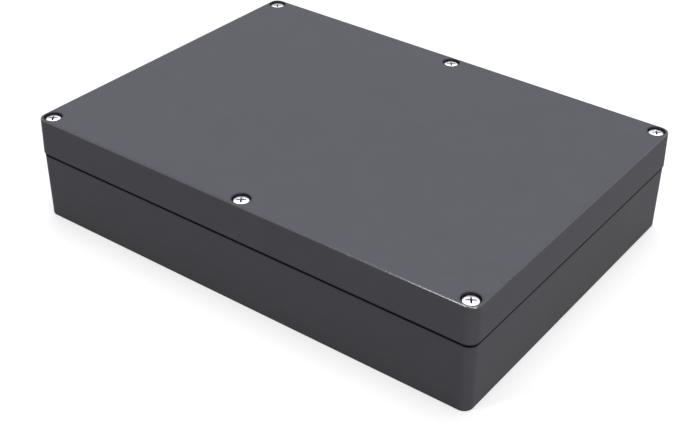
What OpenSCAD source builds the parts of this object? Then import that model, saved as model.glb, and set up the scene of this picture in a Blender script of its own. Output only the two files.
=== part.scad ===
// Two-part moulded project box: deep base, deep lid, seal between them, six lid screws in brass inserts.
// Millimetres. The origin is at the middle of the underside, X runs along the length and Z points up.

/* [Box] */
// Length over the lid's lower edge
box_l = 290; // [220:1:400]
// Width over the lid's lower edge
box_w = 210; // [170:1:320]
// Height of the closed box
box_h = 63; // [58:1:110]
// Height of the base's rim
rim_h = 40; // [34:1:46]
// Open shadow line between the base's rim and the lid's edge
seam_gap = 1.1; // [0.4:0.1:1.4]
// Radius of the upright corners at the lid's lower edge
corner_r = 6; // [4.5:0.5:9]
// How far the lid's edge stands out past the base's rim
side_step = 0.5; // [0.2:0.1:1]
// Thickness of the floor
floor_t = 3; // [2:0.5:5]
// Thickness of the lid's roof
roof_t = 3; // [2:0.5:4]
// How far the lid's sides lean in from its edge to its top
lid_draft = 0.5; // [0.1:0.1:1]
// How far the base's sides lean in from its rim to its underside
base_draft = 0.1; // [0.1:0.1:1]
// How far the inner walls lean in from mouth to bottom
core_draft = 0.4; // [0.1:0.1:0.8]

/* [Edges] */
// Radius of the lid's top edge
top_edge_r = 1; // [0.5:0.1:2.5]
// Radius of the lid's lower edge
lid_edge_r = 0.3; // [0.1:0.1:0.8]
// Radius of the rim's outer edge
rim_edge_r = 0.3; // [0.1:0.1:0.6]
// Radius of the underside's edge
foot_edge_r = 0.8; // [0.3:0.1:2]
// Bevel where the inner walls meet the floor and the roof
core_bevel = 1.2; // [0.4:0.1:1.6]

/* [Seal] */
// Thickness of the skirt outside the seal groove
skirt_t = 1.2; // [0.9:0.1:1.8]
// Width of the seal groove in the lid
groove_w = 2; // [1.8:0.1:2.6]
// Depth of the seal groove
groove_d = 3.2; // [2.6:0.1:4.5]
// Thickness of the lip inside the seal groove
lip_t = 1; // [0.8:0.1:1.4]
// Width of the base's tongue
tongue_w = 1.2; // [0.8:0.1:1.4]
// Height of the pressed gasket
gasket_h = 1.6; // [1:0.1:2]
// Side play of the gasket in its groove
gasket_play = 0.05; // [0.02:0.01:0.15]

/* [Lid screws] */
// Screw centres in from the lid's lower edge
screw_inset = 7; // [6.8:0.1:8.5]
// Nominal thread diameter
screw_d = 5; // [4:0.5:5]
// How far each screw reaches below the joint face
screw_reach = 11.8; // [10:0.1:16]
// Head diameter
head_d = 9; // [8.5:0.1:9.5]
// Head height
head_h = 3; // [2.6:0.1:3.6]
// Radius of the head's domed top
head_dome_r = 20; // [10:1:40]
// Depth of the head's top below the lid's top
head_sink = 0.7; // [0:0.1:2]
// Gap round the head in its counterbore
head_gap = 0.6; // [0.4:0.1:0.9]
// Gap round the thread in the lid's hole
shank_gap = 0.25; // [0.1:0.05:0.5]
// Span of the cross recess at the head's crown
cross_span = 5.6; // [4.5:0.1:6.6]
// Span of the cross recess at its bottom
cross_root = 2.4; // [1.8:0.1:3]
// Thickness of each wing of the cross recess
cross_wing = 1.2; // [0.8:0.1:1.4]
// Depth of the cross recess
cross_depth = 2.3; // [1.5:0.1:2.5]
// Angle at which the tightened cross stands
cross_turn = 36; // [0:1:89]
// Rounding between the head's side and its top
head_edge_r = 0.5; // [0.3:0.1:1]

/* [Inserts] */
// Outer diameter of the brass inserts
insert_d = 7; // [6.5:0.1:7.4]
// Length of the brass inserts
insert_len = 10; // [8:0.5:12]
// Running gap between thread and insert
thread_gap = 0.05; // [0.02:0.01:0.08]
// How far each insert sits below the joint face
insert_sink = 0.1; // [0:0.05:0.3]
// Plastic round each insert
post_wall = 2.1; // [1.8:0.1:2.4]

/* [Wall fixings] */
// Distance from each corner screw to its wall fixing
fixing_step = 14; // [12:1:24]
// Diameter of the wall fixing holes
fixing_d = 4.5; // [3.5:0.1:5.5]
// Diameter of the channel down to each fixing hole
channel_d = 8.4; // [7.5:0.1:9]
// Plastic left under the head of a wall screw
fixing_seat = 4; // [3:0.5:6]

/* [Board bosses] */
// Boss centres in from the lid's lower edge, both ways
boss_inset = 27; // [24:1:60]
// Boss diameter
boss_d = 7.2; // [6:0.1:8]
// Boss height above the floor
boss_h = 6; // [3:0.5:12]
// Flare round the foot of each boss
boss_flare = 1; // [0.3:0.1:1.5]
// Pilot hole diameter
pilot_d = 2.7; // [2:0.1:3.5]
// Pilot hole depth
pilot_depth = 7; // [3:0.5:7.5]

/* [Hidden] */
$fn = 96;
// Overshoot of every cut and overlap of every join
cut = 1;
body_colour = "#4a4a50";
SPOTS = [
    ["front_left", -1, -1],
    ["front_middle", 0, -1],
    ["front_right", 1, -1],
    ["back_left", -1, 1],
    ["back_middle", 0, 1],
    ["back_right", 1, 1]
];

// The lid stands on the posts at the joint face
joint_z = rim_h + seam_gap;
corner_x = box_l / 2 - corner_r;
corner_y = box_w / 2 - corner_r;
screw_x = box_l / 2 - screw_inset;
screw_y = box_w / 2 - screw_inset;
fixing_y = screw_y - fixing_step;
boss_x = box_l / 2 - boss_inset;
boss_y = box_w / 2 - boss_inset;

// Fits round the screws
post_r = insert_d / 2 + post_wall;
bore_r = screw_d / 2 + thread_gap;
hole_r = screw_d / 2 + shank_gap;
counterbore_r = head_d / 2 + head_gap;
seat_z = box_h - head_sink - head_h;
crown_z = seat_z + head_h;
tip_z = joint_z - screw_reach;
tip_room = 1.5;
tip_bevel = 0.6;

// The head's rounding touches both its side and its dome
head_side = head_d / 2 - head_edge_r;
head_round_z = head_h - head_dome_r + sqrt(pow(head_dome_r - head_edge_r, 2) - pow(head_side, 2));
head_touch_x = head_side * head_dome_r / (head_dome_r - head_edge_r);

// Outside of each brass insert
insert_z = joint_z - insert_sink - insert_len;
insert_lead = 1;
insert_relief = 0.4;
waist_h = 1.6;
mouth_bevel = 0.4;

// Seal line: straight along the walls, with quarter bends inwards round the posts and wall fixings
post_play = 0.2;
seal_inset = skirt_t + groove_w / 2;
seal_x = box_l / 2 - seal_inset;
seal_y = box_w / 2 - seal_inset;
seal_in = groove_w / 2 + lip_t;
seal_back = 1.5;
seal_post_r = post_r + post_play + groove_w / 2;
seal_bend_r = screw_inset - seal_inset;
bend_step = seal_post_r + seal_bend_r;
turn_x = screw_x - seal_post_r;
groove_top = joint_z + groove_d;
tongue_top = groove_top - gasket_h;
tongue_bevel = 0.2;
gasket_bevel = 0.3;

// Bends of the seal line in one quarter: centre, radius, whether the centre is on the inner side, first angle
seal_bends = [
    [[0, screw_y], seal_post_r, 0, 270],
    [[bend_step, screw_y], seal_bend_r, 1, 90],
    [[screw_x - bend_step, screw_y], seal_bend_r, 1, 0],
    [[screw_x, fixing_y], seal_post_r, 0, 180],
    [[screw_x, fixing_y - bend_step], seal_bend_r, 1, 0]
];

// Places a piece at one lid screw
module at_spot(spot) {
    translate([spot[1] * screw_x, spot[2] * screw_y, 0]) children();
}

// Repeats a piece in all four quarters of the box
module four_ways() {
    for (across = [0, 1], along = [0, 1])
        mirror([across, 0, 0]) mirror([0, along, 0]) children();
}

// Block with rounded upright corners; its section runs outwards from the corner centres
module rounded_block(z_low, z_high) {
    translate([-corner_x, -corner_y, z_low]) cube([2 * corner_x, 2 * corner_y, z_high - z_low]);
    four_ways() {
        translate([corner_x, corner_y, 0]) rotate_extrude(angle = 90) children();
        translate([corner_x, corner_y, 0]) rotate([90, 0, 0]) linear_extrude(corner_y) children();
        translate([0, corner_y, 0]) rotate([90, 0, 90]) linear_extrude(corner_x) children();
    }
}

// Half section of a drafted block with rounded edges at its foot and its top
module drafted_section(low_r, z_low, low_edge_r, high_r, z_high, high_edge_r) {
    polygon([
        [0, z_low],
        [low_r - low_edge_r, z_low],
        [low_r, z_low + low_edge_r],
        [high_r, z_high - high_edge_r],
        [high_r - high_edge_r, z_high],
        [0, z_high]
    ]);
    translate([low_r - low_edge_r, z_low + low_edge_r]) circle(low_edge_r);
    translate([high_r - high_edge_r, z_high - high_edge_r]) circle(high_edge_r);
}

// Sweeps a section round the seal line; its x runs inwards from the line and its y is the height
module along_seal() {
    four_ways() {
        for (bend = seal_bends)
            translate(bend[0]) rotate([0, 0, bend[3]]) rotate_extrude(angle = 90)
                translate([bend[1], 0]) mirror([bend[2], 0]) children();
        translate([bend_step, seal_y, 0]) rotate([90, 0, 90])
            linear_extrude(screw_x - 2 * bend_step) mirror([1, 0]) children();
        translate([turn_x, screw_y, 0]) rotate([90, 0, 0])
            linear_extrude(fixing_step) mirror([1, 0]) children();
        translate([seal_x, fixing_y - bend_step, 0]) rotate([90, 0, 0])
            linear_extrude(fixing_y - bend_step) mirror([1, 0]) children();
    }
}

// Section of the inner wall, from its bevelled closed end to past its mouth
module wall_section(closed_z, mouth_z) {
    out = mouth_z > closed_z ? cut : -cut;
    wall_in = seal_in + core_draft;
    polygon([
        [-seal_back, closed_z - out],
        [wall_in + core_bevel, closed_z - out],
        [wall_in + core_bevel, closed_z],
        [wall_in, closed_z + sign(out) * core_bevel],
        [seal_in, mouth_z],
        [seal_in, mouth_z + 2 * out],
        [-seal_back, mouth_z + 2 * out]
    ]);
}

// Hollow of one half: everything inside the seal line, clear of the posts and wall fixings
module hollow(closed_z, mouth_z) {
    out = mouth_z > closed_z ? cut : -cut;
    low = min(closed_z, mouth_z + out);
    depth = abs(mouth_z + out - closed_z);
    half_l = seal_x - groove_w / 2;
    half_w = seal_y - groove_w / 2;
    difference() {
        translate([-half_l, -half_w, low]) cube([2 * half_l, 2 * half_w, depth]);
        along_seal() wall_section(closed_z, mouth_z);
        four_ways() translate([0, 0, low - cut]) {
            for (post = [[0, screw_y], [screw_x, fixing_y]])
                translate(post) cylinder(r = seal_post_r + seal_back, h = depth + 2 * cut);
            translate([turn_x, fixing_y, 0])
                cube([box_l / 2 - turn_x, box_w / 2 - fixing_y, depth + 2 * cut]);
        }
    }
}

// Boss for a board or plate screw, with its pilot hole left to the base
module board_boss() {
    translate([0, 0, floor_t - cut]) cylinder(d = boss_d, h = boss_h + cut);
    translate([0, 0, floor_t]) cylinder(r1 = boss_d / 2 + boss_flare, r2 = boss_d / 2, h = boss_flare);
}

// Repeats a piece at the six board bosses
module at_bosses() {
    for (across = [-1, 0, 1], along = [-1, 1])
        translate([across * boss_x, along * boss_y, 0]) children();
}

// Base: tray, posts, tongue and bosses in one moulding
module base() {
    foot_r = corner_r - side_step - base_draft;
    rim_r = corner_r - side_step;
    color(body_colour) difference() {
        union() {
            difference() {
                rounded_block(0, rim_h)
                    drafted_section(foot_r, 0, foot_edge_r, rim_r, rim_h, rim_edge_r);
                hollow(floor_t, rim_h);
            }
            along_seal() polygon([
                [-tongue_w / 2, rim_h - cut],
                [tongue_w / 2, rim_h - cut],
                [tongue_w / 2, tongue_top - tongue_bevel],
                [tongue_w / 2 - tongue_bevel, tongue_top],
                [tongue_bevel - tongue_w / 2, tongue_top],
                [-tongue_w / 2, tongue_top - tongue_bevel]
            ]);
            for (spot = SPOTS)
                at_spot(spot) translate([0, 0, rim_h - cut]) cylinder(r = post_r, h = seam_gap + cut);
            at_bosses() board_boss();
        }
        for (spot = SPOTS) at_spot(spot) {
            translate([0, 0, insert_z]) cylinder(d = insert_d, h = joint_z - insert_z + cut);
            translate([0, 0, tip_z - tip_room]) cylinder(r = hole_r, h = joint_z - tip_z + tip_room);
        }
        four_ways() translate([screw_x, fixing_y, 0]) {
            translate([0, 0, -cut]) cylinder(d = fixing_d, h = fixing_seat + 2 * cut);
            translate([0, 0, fixing_seat]) cylinder(d = channel_d, h = rim_h - fixing_seat + cut);
        }
        at_bosses() translate([0, 0, floor_t + boss_h - pilot_depth])
            cylinder(d = pilot_d, h = pilot_depth + cut);
    }
}

// Lid: deep cover with the seal groove in its edge and six counterbored screw holes
module lid() {
    color(body_colour) difference() {
        rounded_block(joint_z, box_h) drafted_section(
            corner_r, joint_z, lid_edge_r, corner_r - lid_draft, box_h, top_edge_r
        );
        hollow(box_h - roof_t, joint_z);
        along_seal() translate([-groove_w / 2, joint_z - cut]) square([groove_w, groove_d + cut]);
        for (spot = SPOTS) at_spot(spot) {
            translate([0, 0, joint_z - cut]) cylinder(r = hole_r, h = seat_z - joint_z + 2 * cut);
            translate([0, 0, seat_z]) cylinder(r = counterbore_r, h = box_h - seat_z + cut);
        }
        four_ways() translate([screw_x, fixing_y, joint_z - cut])
            cylinder(d = channel_d, h = box_h - roof_t - joint_z + cut);
    }
}

// Gasket: one closed loop pressed into the lid's groove by the tongue
module gasket() {
    half_w = groove_w / 2 - gasket_play;
    color("#1c1c1e") along_seal() polygon([
        [gasket_bevel - half_w, tongue_top],
        [half_w - gasket_bevel, tongue_top],
        [half_w, tongue_top + gasket_bevel],
        [half_w, groove_top],
        [-half_w, groove_top],
        [-half_w, tongue_top + gasket_bevel]
    ]);
}

// Cross recess, its wings narrowing to the bottom
module cross_recess() {
    translate([0, 0, crown_z - cross_depth]) rotate([0, 0, cross_turn]) intersection() {
        union() {
            for (turn = [0, 90]) rotate([0, 0, turn])
                translate([-cross_span / 2, -cross_wing / 2, 0]) cube([cross_span, cross_wing, cross_depth]);
        }
        cylinder(d1 = cross_root, d2 = cross_span, h = cross_depth);
    }
}

// Lid screw: low pan head on a plain shank of the thread's outer diameter
module screw() {
    color("#d8d8da") difference() {
        union() {
            translate([0, 0, seat_z]) rotate_extrude() {
                square([head_d / 2, head_round_z]);
                translate([head_side, head_round_z]) circle(head_edge_r);
                intersection() {
                    square([head_touch_x, head_h]);
                    translate([0, head_h - head_dome_r]) circle(head_dome_r);
                }
            }
            translate([0, 0, tip_z + tip_bevel]) cylinder(d = screw_d, h = seat_z - tip_z);
            translate([0, 0, tip_z]) cylinder(d1 = screw_d - 2 * tip_bevel, d2 = screw_d, h = tip_bevel);
        }
        cross_recess();
    }
}

// Threaded brass insert with a lead-in below and a relief round its middle
module insert() {
    outer_r = insert_d / 2;
    top = insert_z + insert_len;
    waist_low = insert_z + (insert_len - waist_h) / 2;
    waist_high = waist_low + waist_h;
    color("#c8a04a") rotate_extrude() polygon([
        [bore_r, insert_z],
        [outer_r - insert_relief, insert_z],
        [outer_r - insert_relief, insert_z + insert_lead],
        [outer_r, insert_z + insert_lead],
        [outer_r, waist_low],
        [outer_r - insert_relief, waist_low],
        [outer_r - insert_relief, waist_high],
        [outer_r, waist_high],
        [outer_r, top],
        [bore_r + mouth_bevel, top],
        [bore_r, top - mouth_bevel]
    ]);
}

base();
lid();
gasket();
for (spot = SPOTS) {
    at_spot(spot) screw();
    at_spot(spot) insert();
}
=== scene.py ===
"""Looks of the plastic project box: grained plastic, plated screws, brass inserts, rubber seal.

Everything is in metres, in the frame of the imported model: X along the box, Y across it and Z up.
The front of the box is its side at -Y.
"""

import math

import bmesh
import bpy
from mathutils import Matrix, Vector


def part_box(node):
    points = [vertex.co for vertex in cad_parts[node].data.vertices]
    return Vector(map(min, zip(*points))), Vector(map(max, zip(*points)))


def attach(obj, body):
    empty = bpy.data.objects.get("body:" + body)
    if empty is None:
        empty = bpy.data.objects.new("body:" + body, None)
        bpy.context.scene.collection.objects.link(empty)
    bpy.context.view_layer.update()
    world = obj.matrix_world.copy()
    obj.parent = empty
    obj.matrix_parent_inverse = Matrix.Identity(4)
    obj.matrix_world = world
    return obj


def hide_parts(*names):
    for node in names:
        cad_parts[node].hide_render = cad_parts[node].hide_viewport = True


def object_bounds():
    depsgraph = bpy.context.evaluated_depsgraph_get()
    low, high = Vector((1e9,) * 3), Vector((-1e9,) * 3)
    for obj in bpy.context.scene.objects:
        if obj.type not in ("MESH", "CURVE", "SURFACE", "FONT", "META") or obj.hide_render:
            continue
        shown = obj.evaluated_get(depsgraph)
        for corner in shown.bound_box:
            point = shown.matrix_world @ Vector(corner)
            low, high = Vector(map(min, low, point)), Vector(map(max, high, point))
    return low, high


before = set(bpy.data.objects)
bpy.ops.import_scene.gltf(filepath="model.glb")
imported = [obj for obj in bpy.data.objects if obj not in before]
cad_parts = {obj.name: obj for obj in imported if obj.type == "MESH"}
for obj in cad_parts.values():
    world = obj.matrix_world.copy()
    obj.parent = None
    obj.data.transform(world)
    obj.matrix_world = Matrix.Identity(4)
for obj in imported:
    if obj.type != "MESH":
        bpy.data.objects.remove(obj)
cad_low, cad_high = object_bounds()

MM = 0.001
WHITE = (1.0, 1.0, 1.0)

# Lid screws: head, shank, and the thread that they share with the inserts. The crest and the root
# are shares of the pitch, and the gap is the play between the two threads
SPOTS = ("front_left", "front_middle", "front_right", "back_left", "back_middle", "back_right")
HEAD_H = 3.0 * MM
HEAD_EDGE_R = 0.5 * MM
HEAD_DOME_R = 20 * MM
HEAD_UNDER_BEVEL = 0.15 * MM
HEAD_EDGE_STEPS = 6
HEAD_DOME_STEPS = 8
HEAD_STEPS = 96
SHANK_R = 2.5 * MM
TIP_BEVEL = 0.6 * MM
THREAD_PITCH = 0.8 * MM
THREAD_DEPTH = 0.49 * MM
THREAD_CREST = 0.125
THREAD_ROOT = 0.25
THREAD_GAP = 0.05 * MM
THREAD_STEPS = 48
CREASE_ANGLE = math.radians(35)

# Cross recess: two crossing bars and a cone in the middle, which narrow downward. The cutting
# shapes stand out above the head by their rise
RECESS_TURN = math.radians(36)
RECESS_DEPTH = 2.3 * MM
RECESS_SPAN = 5.6 * MM
RECESS_ROOT_SPAN = 2.4 * MM
RECESS_WING = 1.2 * MM
RECESS_WING_ROOT = 0.8 * MM
RECESS_RISE = 0.5 * MM
HUB_R = 1.0 * MM
HUB_ROOT_R = 0.4 * MM
HUB_RISE = 0.2 * MM
HUB_EXTRA_DEPTH = 0.1 * MM
HUB_STEPS = 24

# Outside of each insert
INSERT_LEAD = 1.0 * MM
INSERT_RELIEF = 0.4 * MM
INSERT_WAIST = 1.6 * MM
INSERT_MOUTH = 0.4 * MM
INSERT_KNURL = 0.2 * MM
INSERT_STEPS = THREAD_STEPS * 2

# Joint between the halves. Painted shade on its lips fades out between two distances from the
# gap's middle, and lies on the outer faces alone. Those begin between two distances from the
# rectangle that the rounded outline is drawn round
JOINT_GAP = 1.1 * MM
JOINT_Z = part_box("lid")[0].z - JOINT_GAP / 2
JOINT_SHADE_FADE = (0.7 * MM, 0.95 * MM)
JOINT_SHADE_TONE = 0.05
CORNER_R = 6.0 * MM
OUTER_FACES = (CORNER_R - 1.2 * MM, CORNER_R - 0.8 * MM)

# Masks. Most values of a noise lie in its range, and an outer edge is where a piece's own cover
# falls through the edge range
NOISE_RANGE = (0.3, 0.7)
NOISE_ROUGHNESS = 0.6
EDGE_RANGE = (0.86, 0.98)
EDGE_SAMPLES = 16
GAP_SAMPLES = 8

# Plastic. The reach of its edge mask is less than the thickness of the lid's skirt. Rubbed places
# are turned partly upward, between the steep and the flat range, and lie clear of gaps
PLASTIC_COLOUR = (0.072, 0.072, 0.081)
GRAIN_SIZE = 0.35 * MM
GRAIN_TONES = (0.94, 1.06)
FINE_SIZE = 0.12 * MM
MOTTLE_SIZE = 14 * MM
MOTTLE_TONES = (0.97, 1.03)
PLASTIC_EDGE_REACH = 1.1 * MM
PLASTIC_EDGE_TONE = 0.75
PLASTIC_ROUGHNESS = (0.40, 0.47)
PLASTIC_SPECULAR = 0.02
STEEP_RANGE = (0.1, 0.4)
FLAT_RANGE = (0.93, 0.99)
CLEAR_RANGE = (0.85, 1.0)
RUBBED_RANGE = (0.0, 0.5)
RUBBED_TONE = 0.2
RUBBED_SMOOTHING = -0.32
COAT_ROUGHNESS = 0.16
COAT_IOR = 1.9
PLASTIC_BUMP = 0.35
PLASTIC_BUMP_HEIGHT = 0.02 * MM
GRAIN_IN_BUMP = 0.6

# Rubber
RUBBER_COLOUR = (0.012, 0.012, 0.013)
BLOOM_SIZE = 4 * MM
BLOOM_TONES = (0.8, 1.35)
SKIN_SIZE = 0.2 * MM
RUBBER_ROUGHNESS = (0.62, 0.78)
RUBBER_BUMP = 0.3
RUBBER_BUMP_HEIGHT = 0.02 * MM

# Metals
STEEL_COLOUR = (0.86, 0.86, 0.87)
STEEL_ROUGHNESS = (0.26, 0.36)
STEEL_RING_SIZE = 0.10 * MM
BRASS_COLOUR = (0.72, 0.50, 0.20)
BRASS_ROUGHNESS = (0.24, 0.34)
BRASS_RING_SIZE = 0.12 * MM
STAIN_SIZE = 1.6 * MM
STAIN_TONES = (0.93, 1.02)
METAL_EDGE_REACH = 0.2 * MM
METAL_EDGE_LIFT = 0.06
METAL_BUMP = 0.12
METAL_BUMP_HEIGHT = 0.01 * MM

# Camera, solved from the three stated sizes of the box and its outline in the picture
CAMERA_PLACE = Vector((0.363267, -0.497153, 0.408452))
CAMERA_AIM = Vector((0.047942, -0.028765, 0.030000))
CAMERA_ROLL = math.radians(2.08266)
CAMERA_LENS = 66.4527
CAMERA_SHIFT = (-0.08154, 0.00573)
SENSOR_WIDTH = 36.0

# Lamps: name, place, width and height, level and colour. A level is a radiance, where 1 is a white
# surface in full light. The strip is mirrored in the top edge of the box's front
LAMPS = (
    ("key", (0.3, 0.2, 3.4), (2.2, 2.2), 7.1, WHITE),
    ("side", (2.05, -0.8, 1.05), (1.0, 1.0), 9.0, (1.0, 1.0, 0.97)),
    ("sky", (-0.9, 1.5, 3.0), (2.4, 2.4), 2.8, (1.0, 1.0, 1.25)),
    ("front_strip", (-0.36, -0.90, 0.96), (0.1, 0.6), 28.0, WHITE),
)

# World and floor
AMBIENT = 0.06
FLOOR_COLOUR = (0.38, 0.38, 0.38)
FLOOR_GLOW = 0.55
FLOOR_HALF = 6.0
FLOOR_DROP = 0.1 * MM


def feed(tree, node, values):
    """Fills a node's inputs, by name or number: a socket is linked, any other value is set."""
    for name, value in values.items():
        socket = node.inputs[name]
        if isinstance(value, bpy.types.NodeSocket):
            tree.links.new(value, socket)
        else:
            socket.default_value = value


def add_node(tree, kind, values=None, **settings):
    """Adds a node with its settings and the values of its inputs."""
    made = tree.nodes.new(kind)
    for name, value in settings.items():
        setattr(made, name, value)
    feed(tree, made, values or {})
    return made


def maths(tree, operation, *values):
    """Result of a Math node."""
    inputs = dict(enumerate(values))
    return add_node(tree, "ShaderNodeMath", inputs, operation=operation).outputs[0]


def vectors(tree, operation, *values):
    """Vector Math node, whose result is in its output Vector or Value."""
    inputs = dict(enumerate(values))
    return add_node(tree, "ShaderNodeVectorMath", inputs, operation=operation).outputs


def product(tree, first, *others):
    """Values multiplied together."""
    for other in others:
        first = maths(tree, "MULTIPLY", first, other)
    return first


def scaled_colour(tree, colour, factor):
    """A colour multiplied by a value socket."""
    inputs = {0: colour, "Scale": factor}
    return add_node(tree, "ShaderNodeVectorMath", inputs, operation="SCALE").outputs["Vector"]


def spread(tree, value, to, given=NOISE_RANGE):
    """Maps a value from the given range onto another, clamped."""
    inputs = {"Value": value, 1: given[0], 2: given[1], 3: to[0], 4: to[1]}
    return add_node(tree, "ShaderNodeMapRange", inputs).outputs["Result"]


def noise(tree, place, size, detail):
    """Noise whose lumps are about size metres across, from 0 to 1."""
    inputs = {"Vector": place, "Scale": 1 / size, "Detail": detail, "Roughness": NOISE_ROUGHNESS}
    return add_node(tree, "ShaderNodeTexNoise", inputs).outputs["Fac"]


def bumped(tree, heights, strength, distance):
    """Normal of a surface that rises and falls with the heights."""
    inputs = {"Strength": strength, "Distance": distance, "Height": heights}
    return add_node(tree, "ShaderNodeBump", inputs).outputs["Normal"]


def edge_mask(tree, reach):
    """1 on outer edges and 0 on open faces: little of the piece itself lies within reach there."""
    cover = add_node(
        tree, "ShaderNodeAmbientOcclusion", {"Distance": reach}, samples=EDGE_SAMPLES, inside=True
    )
    return spread(tree, cover.outputs["AO"], to=(1.0, 0.0), given=EDGE_RANGE)


def painted_gap_shade(tree, reach, dark, closed, open_from):
    """Painted shade: 1 on open faces, falling to dark inside gaps and pits that are narrower than
    reach.
    """
    cover = add_node(
        tree, "ShaderNodeAmbientOcclusion", {"Distance": reach}, samples=GAP_SAMPLES
    )
    return spread(tree, cover.outputs["AO"], to=(dark, 1.0), given=(closed, open_from))


def outline_distance(tree, place):
    """Distance across the box from the rectangle that its rounded outline is drawn round."""
    inner = (cad_high.x - CORNER_R, cad_high.y - CORNER_R, 0)
    across = vectors(tree, "MULTIPLY", place, (1, 1, 0))["Vector"]
    across = vectors(tree, "ABSOLUTE", across)["Vector"]
    beyond = vectors(tree, "SUBTRACT", across, inner)["Vector"]
    beyond = vectors(tree, "MAXIMUM", beyond, (0, 0, 0))["Vector"]
    return vectors(tree, "LENGTH", beyond)["Value"]


def painted_joint_shade(tree, place):
    """1 on the outer faces, falling to the tone of the painted shade beside the joint."""
    height = add_node(tree, "ShaderNodeSeparateXYZ", {0: place}).outputs["Z"]
    from_joint = maths(tree, "ABSOLUTE", maths(tree, "SUBTRACT", height, JOINT_Z))
    joint_shading = spread(tree, from_joint, to=(JOINT_SHADE_TONE, 1.0), given=JOINT_SHADE_FADE)
    return spread(tree, outline_distance(tree, place), to=(1.0, joint_shading), given=OUTER_FACES)


def empty_tree(owner):
    """The cleared node tree of a material or a world."""
    owner.use_nodes = True
    owner.node_tree.nodes.clear()
    return owner.node_tree


def new_material(name):
    """A material with its Principled shader wired to the output."""
    material = bpy.data.materials.new(name)
    tree = empty_tree(material)
    shader = add_node(tree, "ShaderNodeBsdfPrincipled")
    add_node(tree, "ShaderNodeOutputMaterial", {"Surface": shader.outputs["BSDF"]})
    return material, tree, shader


def plastic_material():
    """Dark grey moulded plastic: spark-eroded grain, faint flow mottle, painted shade in gaps and
    beside the joint.

    Rounded edges that are turned upward are rubbed: darker, and under a coat of gloss.
    """
    material, tree, shader = new_material("grained_plastic")
    coords = add_node(tree, "ShaderNodeTexCoord").outputs
    place = coords["Object"]
    grain = noise(tree, place, GRAIN_SIZE, detail=2.0)
    fine = noise(tree, place, FINE_SIZE, detail=2.0)
    mottle = noise(tree, place, MOTTLE_SIZE, detail=4.0)

    # Painted shade: the colour darkens inside the joint's gap, the counterbores and where the base
    # meets the floor
    clear = painted_gap_shade(tree, reach=2.0 * MM, dark=0.02, closed=0.35, open_from=0.92)
    worn = edge_mask(tree, PLASTIC_EDGE_REACH)
    upward = add_node(tree, "ShaderNodeSeparateXYZ", {0: coords["Normal"]}).outputs["Z"]
    rubbed = product(
        tree,
        worn,
        spread(tree, upward, to=(0.0, 1.0), given=STEEP_RANGE),
        spread(tree, upward, to=(1.0, 0.0), given=FLAT_RANGE),
        spread(tree, clear, to=(0.0, 1.0), given=CLEAR_RANGE),
    )

    # Painted shade of the gaps and of the joint, which also keeps the coat of gloss out of them
    shade = product(tree, clear, painted_joint_shade(tree, place))
    tone = product(
        tree,
        spread(tree, mottle, to=MOTTLE_TONES),
        spread(tree, grain, to=GRAIN_TONES),
        shade,
        spread(tree, worn, to=(1.0, PLASTIC_EDGE_TONE), given=(0.0, 1.0)),
        spread(tree, rubbed, to=(1.0, RUBBED_TONE), given=RUBBED_RANGE),
    )
    rough = spread(tree, mottle, to=PLASTIC_ROUGHNESS)
    gloss = product(tree, shade, spread(tree, rubbed, to=(0.0, 1.0), given=RUBBED_RANGE))
    heights = maths(tree, "MULTIPLY_ADD", grain, GRAIN_IN_BUMP, fine)
    feed(tree, shader, {
        "Base Color": scaled_colour(tree, PLASTIC_COLOUR, tone),
        "Roughness": maths(tree, "MULTIPLY_ADD", rubbed, RUBBED_SMOOTHING, rough),
        "Specular IOR Level": PLASTIC_SPECULAR,
        "Coat Weight": gloss,
        "Coat Roughness": COAT_ROUGHNESS,
        "Coat IOR": COAT_IOR,
        "Normal": bumped(tree, heights, PLASTIC_BUMP, PLASTIC_BUMP_HEIGHT),
    })
    return material


def rubber_material():
    """Black seal rubber with a dull bloom and a fine skin."""
    material, tree, shader = new_material("seal_rubber")
    place = add_node(tree, "ShaderNodeTexCoord").outputs["Object"]
    bloom = noise(tree, place, BLOOM_SIZE, detail=4.0)
    skin = noise(tree, place, SKIN_SIZE, detail=3.0)
    feed(tree, shader, {
        "Base Color": scaled_colour(tree, RUBBER_COLOUR, spread(tree, bloom, to=BLOOM_TONES)),
        "Roughness": spread(tree, bloom, to=RUBBER_ROUGHNESS),
        "Normal": bumped(tree, skin, RUBBER_BUMP, RUBBER_BUMP_HEIGHT),
    })
    return material


def turned_metal(name, colour, roughness, ring_size):
    """Metal turned round the piece's own upright axis, with fine rings and faint stains.

    Its edges are brighter, and painted shade darkens it inside gaps and pits.
    """
    material, tree, shader = new_material(name)
    place = add_node(tree, "ShaderNodeTexCoord").outputs["Object"]
    apart = add_node(tree, "ShaderNodeSeparateXYZ", {0: place}).outputs
    across = add_node(tree, "ShaderNodeCombineXYZ", {"X": apart["X"], "Y": apart["Y"]}).outputs[0]
    radius = vectors(tree, "LENGTH", across)["Value"]
    rings_place = add_node(tree, "ShaderNodeCombineXYZ", {"X": radius, "Z": apart["Z"]}).outputs[0]
    rings = noise(tree, rings_place, ring_size, detail=2.0)
    stain = noise(tree, place, STAIN_SIZE, detail=4.0)
    stained = spread(tree, stain, to=STAIN_TONES)
    tone = maths(
        tree, "MULTIPLY_ADD", edge_mask(tree, METAL_EDGE_REACH), METAL_EDGE_LIFT, stained
    )
    # Painted shade inside the cross recess and other pits
    clear = painted_gap_shade(tree, reach=2.5 * MM, dark=0.03, closed=0.45, open_from=0.92)
    feed(tree, shader, {
        "Base Color": scaled_colour(tree, colour, product(tree, tone, clear)),
        "Metallic": 1.0,
        "Roughness": spread(tree, stain, to=roughness),
        "Normal": bumped(tree, rings, METAL_BUMP, METAL_BUMP_HEIGHT),
    })
    return material


def new_object(name, data):
    """An object for a mesh, a lamp or a camera, in the scene."""
    made = bpy.data.objects.new(name, data)
    bpy.context.scene.collection.objects.link(made)
    return made


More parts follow.
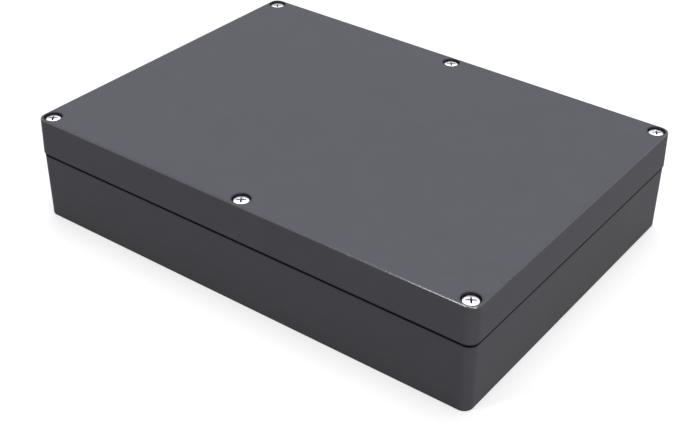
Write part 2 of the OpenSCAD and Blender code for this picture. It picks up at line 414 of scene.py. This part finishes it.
def finish_object(name, mesh, material):
    """An object for a finished mesh, with its material."""
    made = new_object(name, mesh)
    mesh.materials.clear()
    mesh.materials.append(material)
    return made


def finish_mesh(made, name):
    """A mesh of the geometry made, which is then let go."""
    mesh = bpy.data.meshes.new(name)
    made.to_mesh(mesh)
    made.free()
    return mesh


def lathe(name, profile, steps, knurled=(), knurl=0.0):
    """Solid turned round Z from (radius, height) points that start and end on the axis.

    At the points whose numbers are in knurled, every second step dips inward by the knurl's depth.
    """
    made = bmesh.new()
    rings = []
    for number, (radius, height) in enumerate(profile):
        if radius == 0:
            rings.append([made.verts.new((0, 0, height))])
            continue
        ring = []
        for step in range(steps):
            turn = 2 * math.pi * step / steps
            reach = radius - (knurl if number in knurled and step % 2 else 0)
            ring.append(made.verts.new((reach * math.cos(turn), reach * math.sin(turn), height)))
        rings.append(ring)
    for low, high in zip(rings, rings[1:]):
        for step in range(steps):
            after = (step + 1) % steps
            corners = [low[step % len(low)], low[after % len(low)]]
            corners += [high[after % len(high)], high[step % len(high)]]
            # At the axis two corners are one, so the face has three
            made.faces.new(dict.fromkeys(corners))
    bmesh.ops.recalc_face_normals(made, faces=made.faces)
    return finish_mesh(made, name)


def thread_rod(name, crest_r, z_low, z_high, bevel=0.0):
    """Closed rod with one right-hand thread, cut flat at both ends.

    The thread's phase depends on height alone, so a screw's thread runs inside its insert's.
    """
    root_r = crest_r - THREAD_DEPTH
    flank = (1 - THREAD_CREST - THREAD_ROOT) / 2
    profile = [
        (0, root_r),
        (THREAD_ROOT, root_r),
        (THREAD_ROOT + flank, crest_r),
        (1 - flank, crest_r),
    ]
    # Whole turns, with some to spare past both ends for the cuts
    first = math.floor(z_low / THREAD_PITCH) - 2
    turns = math.ceil(z_high / THREAD_PITCH) + 1 - first
    made = bmesh.new()
    rows = []
    for step in range(turns * THREAD_STEPS + 1):
        turn = step / THREAD_STEPS
        angle = 2 * math.pi * turn
        row = []
        for share, radius in profile:
            z = (first + turn + share) * THREAD_PITCH
            if bevel and z < z_low + bevel:
                radius = min(radius, root_r - THREAD_GAP + max(z - z_low, 0))
            row.append(made.verts.new((radius * math.cos(angle), radius * math.sin(angle), z)))
        rows.append(row)
    for step, (row, after) in enumerate(zip(rows, rows[1:])):
        for column in range(len(profile) - 1):
            made.faces.new((row[column], after[column], after[column + 1], row[column + 1]))
        upper = step + THREAD_STEPS
        if upper + 1 < len(rows):
            made.faces.new((row[-1], after[-1], rows[upper + 1][0], rows[upper][0]))
    for height, outward in ((z_low, -1), (z_high, 1)):
        cut = bmesh.ops.bisect_plane(
            made,
            geom=made.verts[:] + made.edges[:] + made.faces[:],
            plane_co=(0, 0, height),
            plane_no=(0, 0, outward),
            clear_outer=True,
        )
        rim = [item for item in cut["geom_cut"] if isinstance(item, bmesh.types.BMEdge)]
        bmesh.ops.edgenet_fill(made, edges=rim)
    bmesh.ops.recalc_face_normals(made, faces=made.faces)
    return finish_mesh(made, name)


def combine(mesh, other, operation):
    """One mesh joined to or cut by another with an exact boolean."""
    first = new_object("first", mesh)
    second = new_object("second", other)
    step = first.modifiers.new("combine", "BOOLEAN")
    step.operation = operation
    step.solver = "EXACT"
    step.object = second
    bpy.context.view_layer.update()
    depsgraph = bpy.context.evaluated_depsgraph_get()
    result = bpy.data.meshes.new_from_object(first.evaluated_get(depsgraph))
    result.name = mesh.name
    bpy.data.objects.remove(first)
    bpy.data.objects.remove(second)
    return result


def tapered_bar(top_z, turn):
    """Wing pair of the cross recess: a bar that narrows to its bottom in length and in width."""
    made = bmesh.new()
    slope = (RECESS_SPAN - RECESS_ROOT_SPAN) / 2 / RECESS_DEPTH
    levels = (
        (top_z - RECESS_DEPTH, RECESS_ROOT_SPAN / 2, RECESS_WING_ROOT / 2),
        (top_z + RECESS_RISE, RECESS_SPAN / 2 + slope * RECESS_RISE, RECESS_WING / 2),
    )
    rings = []
    for z, half_l, half_w in levels:
        corners = ((-half_l, -half_w), (half_l, -half_w), (half_l, half_w), (-half_l, half_w))
        rings.append([made.verts.new((x, y, z)) for x, y in corners])
        made.faces.new(rings[-1])
    low, high = rings
    for side in range(4):
        after = (side + 1) % 4
        made.faces.new((low[side], low[after], high[after], high[side]))
    bmesh.ops.recalc_face_normals(made, faces=made.faces)
    bmesh.ops.rotate(made, verts=made.verts, matrix=Matrix.Rotation(turn, 3, "Z"))
    return finish_mesh(made, "recess_wing")


def head_profile(seat_z, radius):
    """Half section of the low pan head, from the axis under the head up to the crown."""
    side = radius - HEAD_EDGE_R
    dome_z = seat_z + HEAD_H - HEAD_DOME_R
    round_z = dome_z + math.sqrt((HEAD_DOME_R - HEAD_EDGE_R) ** 2 - side**2)
    meet = math.asin(side / (HEAD_DOME_R - HEAD_EDGE_R))
    points = [
        (0, seat_z),
        (radius - HEAD_UNDER_BEVEL, seat_z),
        (radius, seat_z + HEAD_UNDER_BEVEL),
    ]
    for step in range(HEAD_EDGE_STEPS + 1):
        turn = math.pi / 2 + (meet - math.pi / 2) * step / HEAD_EDGE_STEPS
        round_x = side + HEAD_EDGE_R * math.sin(turn)
        points.append((round_x, round_z + HEAD_EDGE_R * math.cos(turn)))
    for step in range(1, HEAD_DOME_STEPS):
        turn = meet * (1 - step / HEAD_DOME_STEPS)
        points.append((HEAD_DOME_R * math.sin(turn), dome_z + HEAD_DOME_R * math.cos(turn)))
    points.append((0, seat_z + HEAD_H))
    return points


def shade_by_angle(mesh):
    """Smooth faces, with edges sharper than the crease angle kept crisp."""
    made = bmesh.new()
    made.from_mesh(mesh)
    for face in made.faces:
        face.smooth = True
    for edge in made.edges:
        edge.smooth = edge.is_manifold and edge.calc_face_angle(math.pi) < CREASE_ANGLE
    made.to_mesh(mesh)
    made.free()


def screw_mesh():
    """Lid screw round the Z axis, at its own height, with its real thread and cross recess."""
    low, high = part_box("screw_" + SPOTS[0])
    seat_z = high.z - HEAD_H
    mesh = lathe("lid_screw", head_profile(seat_z, (high.x - low.x) / 2), HEAD_STEPS)
    # The rod ends inside the head
    rod = thread_rod("rod", SHANK_R, low.z, seat_z + HEAD_H / 4, TIP_BEVEL)
    mesh = combine(mesh, rod, "UNION")
    for turn in (RECESS_TURN, RECESS_TURN + math.pi / 2):
        mesh = combine(mesh, tapered_bar(high.z, turn), "DIFFERENCE")
    hub_top = high.z + HUB_RISE
    hub_low = high.z - RECESS_DEPTH - HUB_EXTRA_DEPTH
    hub = [(0, hub_low), (HUB_ROOT_R, hub_low), (HUB_R, hub_top), (0, hub_top)]
    mesh = combine(mesh, lathe("recess_hub", hub, HUB_STEPS), "DIFFERENCE")
    shade_by_angle(mesh)
    return mesh


def insert_mesh():
    """Knurled brass insert round the Z axis, at its own height, tapped with the screws' thread."""
    low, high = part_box("insert_" + SPOTS[0])
    outer = (high.x - low.x) / 2
    inner = outer - INSERT_RELIEF
    waist_low = (low.z + high.z - INSERT_WAIST) / 2
    waist_high = waist_low + INSERT_WAIST
    tap_r = SHANK_R + THREAD_GAP
    profile = [
        (0, low.z),
        (inner, low.z),
        (inner, low.z + INSERT_LEAD),
        (outer, low.z + INSERT_LEAD),
        (outer, waist_low),
        (inner, waist_low),
        (inner, waist_high),
        (outer, waist_high),
        (outer, high.z),
        (tap_r + INSERT_MOUTH, high.z),
        (tap_r - THREAD_DEPTH, high.z - INSERT_MOUTH - THREAD_DEPTH),
        (0, high.z - INSERT_MOUTH - THREAD_DEPTH),
    ]
    knurled = [number for number, (radius, _) in enumerate(profile) if radius == outer]
    blank = lathe("brass_insert", profile, INSERT_STEPS, knurled, INSERT_KNURL)
    tap = thread_rod("tap", tap_r, low.z - THREAD_PITCH, high.z + THREAD_PITCH)
    mesh = combine(blank, tap, "DIFFERENCE")
    shade_by_angle(mesh)
    return mesh


def place_copies(kind, mesh, material, body_name):
    """Puts one copy of a turned piece in the place of each CAD node of its kind."""
    for spot in SPOTS:
        node = f"{kind}_{spot}"
        low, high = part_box(node)
        piece = finish_object(f"turned_{node}", mesh, material)
        piece.location = ((low.x + high.x) / 2, (low.y + high.y) / 2, 0)
        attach(piece, body_name(node))
        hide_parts(node)


def paint_node(node, material):
    """Gives a CAD node its material."""
    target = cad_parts[node]
    target.data.materials.clear()
    target.data.materials.append(material)


def seen_mask(tree):
    """1 for the rays that show a surface to the camera, straight, in gloss or through glass."""
    rays = add_node(tree, "ShaderNodeLightPath").outputs
    seen = maths(tree, "MAXIMUM", rays["Is Camera Ray"], rays["Is Glossy Ray"])
    return maths(tree, "MAXIMUM", seen, rays["Is Transmission Ray"])


def add_floor():
    """Pale floor: diffuse, so it keeps the shadow, and lifted to white for rays that see it."""
    material = bpy.data.materials.new("floor")
    tree = empty_tree(material)
    glow = product(tree, seen_mask(tree), FLOOR_GLOW)
    diffuse = add_node(tree, "ShaderNodeBsdfDiffuse", {"Color": (*FLOOR_COLOUR, 1)})
    lift = add_node(tree, "ShaderNodeEmission", {"Strength": glow})
    both = add_node(tree, "ShaderNodeAddShader", {0: diffuse.outputs[0], 1: lift.outputs[0]})
    add_node(tree, "ShaderNodeOutputMaterial", {"Surface": both.outputs[0]})
    made = bmesh.new()
    bmesh.ops.create_grid(made, x_segments=1, y_segments=1, size=FLOOR_HALF)
    floor = finish_object("floor", finish_mesh(made, "floor"), material)
    floor.location.z = -FLOOR_DROP


def add_world():
    """White to the rays that see it, and a low even light for all others."""
    world = bpy.data.worlds.new("studio")
    bpy.context.scene.world = world
    tree = empty_tree(world)
    even, white = (
        add_node(tree, "ShaderNodeBackground", {"Color": (*WHITE, 1), "Strength": strength})
        for strength in (AMBIENT, 1.0)
    )
    shaders = {0: seen_mask(tree), 1: even.outputs[0], 2: white.outputs[0]}
    mixed = add_node(tree, "ShaderNodeMixShader", shaders)
    add_node(tree, "ShaderNodeOutputWorld", {"Surface": mixed.outputs[0]})


def aimed(place, aim):
    """Rotation of a lamp or a camera that looks from its place at the aim."""
    return (aim - place).to_track_quat("-Z", "Y")


def add_lamp(name, place, size, level, colour):
    """Rectangular lamp that faces the middle of the box."""
    width, height = size
    data = bpy.data.lights.new(name, "AREA")
    data.shape = "RECTANGLE"
    data.size = width
    data.size_y = height
    data.color = colour
    data.energy = level * math.pi * width * height
    lamp = new_object(name, data)
    lamp.location = place
    lamp.rotation_mode = "QUATERNION"
    lamp.rotation_quaternion = aimed(Vector(place), Vector((0, 0, cad_high.z / 2)))


def add_camera():
    """The picture's own view."""
    data = bpy.data.cameras.new("camera")
    data.lens = CAMERA_LENS
    data.sensor_width = SENSOR_WIDTH
    data.shift_x, data.shift_y = CAMERA_SHIFT
    camera = new_object("camera", data)
    camera.location = CAMERA_PLACE
    camera.rotation_mode = "QUATERNION"
    roll = Matrix.Rotation(CAMERA_ROLL, 3, "Z").to_quaternion()
    camera.rotation_quaternion = aimed(CAMERA_PLACE, CAMERA_AIM) @ roll
    bpy.context.scene.camera = camera


plastic = plastic_material()
rubber = rubber_material()
steel = turned_metal("plated_steel", STEEL_COLOUR, STEEL_ROUGHNESS, STEEL_RING_SIZE)
brass = turned_metal("turned_brass", BRASS_COLOUR, BRASS_ROUGHNESS, BRASS_RING_SIZE)

paint_node("base", plastic)
paint_node("lid", plastic)
paint_node("gasket", rubber)
place_copies("screw", screw_mesh(), steel, lambda node: node)
place_copies("insert", insert_mesh(), brass, lambda node: "base")

add_floor()
add_world()
for lamp in LAMPS:
    add_lamp(*lamp)
add_camera()
bpy.context.scene.view_settings.view_transform = "Standard"

bpy.context.view_layer.update()
